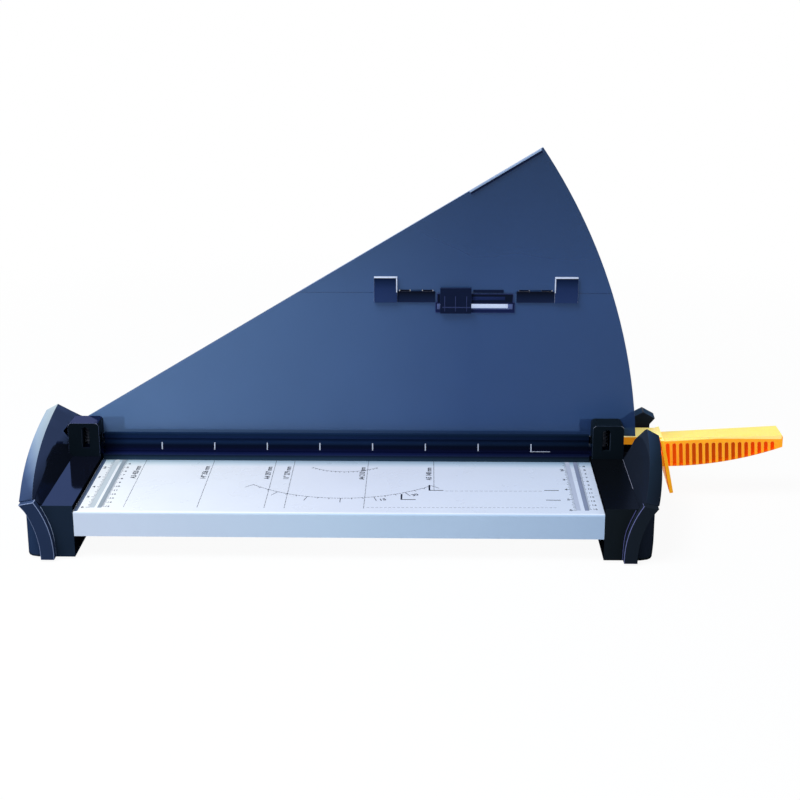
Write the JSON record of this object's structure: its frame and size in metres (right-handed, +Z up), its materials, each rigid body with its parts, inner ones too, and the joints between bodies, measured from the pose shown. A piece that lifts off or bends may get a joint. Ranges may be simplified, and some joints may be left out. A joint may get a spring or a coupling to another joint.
{
  "type": "guillotine paper cutter",
  "caption": "Desk guillotine with a lifting blade arm and handle, a sprung clamp bar, a folding smoked guard and a ruled bed for sheets up to A3.",
  "frame": {"origin": "middle of the machine's underside, on the surface that its rubber feet stand on", "axes": "+X to the right along the cut towards the handle, +Y to the rear, +Z up"},
  "size_m": [0.7128, 0.258, 0.3378],
  "materials": {
    "bed_enamel": "satin, light grey",
    "zinc_steel": "zinc plated",
    "screw_steel": "dark plated",
    "blade_steel": "ground",
    "block_plastic": "fine satin texture",
    "shell_plastic": "fine satin texture",
    "post_plastic": "semi gloss",
    "rubber": "matt",
    "clamp_smoke": "smoked, clear",
    "guard_smoke": "smoked, clear",
    "latch_plastic": "semi gloss",
    "arm_steel": "black enamel",
    "bush_brass": "plain",
    "handle_yellow": "satin"
  },
  "bodies": {
    "base": {"bed_plate": "bed_enamel", "bed_rails": "zinc_steel", "bed_screws": "screw_steel", "ledger_blade": "blade_steel", "ledger_screws": "screw_steel", "left_end_block": "block_plastic", "right_end_block": "block_plastic", "left_end_shell": "shell_plastic", "right_end_shell": "shell_plastic", "right_rear_shell": "shell_plastic", "left_front_fin": "shell_plastic", "right_front_fin": "shell_plastic", "shell_screws": "screw_steel", "left_base_cover": "block_plastic", "right_base_cover": "block_plastic", "base_cover_screws": "screw_steel", "rubber_feet": "rubber", "left_post": "post_plastic", "right_post": "post_plastic", "post_screws": "screw_steel", "clamp_guide_rods": "zinc_steel", "clamp_springs": "zinc_steel", "guard_lower_panel": "guard_smoke", "guard_screws": "screw_steel", "guard_hinge_clips": "latch_plastic", "guard_hinge_leaves": "latch_plastic", "guard_hinge_pins": "zinc_steel", "latch_frame": "latch_plastic", "rear_tie_bar": "zinc_steel", "tie_bar_screws": "screw_steel", "pivot_bolt": "zinc_steel", "pivot_nut": "zinc_steel", "pivot_washers": "zinc_steel", "arm_rest_pad": "rubber"},
    "blade_arm_body": {"blade_arm": "arm_steel", "pivot_bush": "bush_brass", "moving_blade": "blade_steel", "blade_screws": "screw_steel", "handle_grip": "handle_yellow", "handle_screws": "screw_steel"},
    "clamp_body": {"clamp_bar": "clamp_smoke", "clamp_pad": "rubber"},
    "guard_flap_body": {"guard_upper_panel": "guard_smoke", "guard_edge_grip": "latch_plastic"},
    "latch_body": {"latch_slider": "latch_plastic"}
  },
  "joints": [
    {"name": "arm_swing", "type": "hinge", "parent": "base", "child": "blade_arm_body", "pos_m": [-0.3233, 0.052, 0.031], "axis": [0, -1, 0], "range_deg": [0, 31]},
    {"name": "clamp_lift", "type": "slide", "parent": "base", "child": "clamp_body", "axis": [0, 0, 1], "range_m": [0, 0.008], "stiffness_N_per_m": 200, "springref_m": -0.01, "deforming": ["clamp_springs"]},
    {"name": "guard_fold", "type": "hinge", "parent": "base", "child": "guard_flap_body", "pos_m": [0.0844, 0.03365, 0.2033], "axis": [-1, 0, 0], "range_deg": [0, 180]},
    {"name": "latch_slide", "type": "slide", "parent": "base", "child": "latch_body", "axis": [1, 0, 0], "range_m": [0, 0.034]}
  ]
}
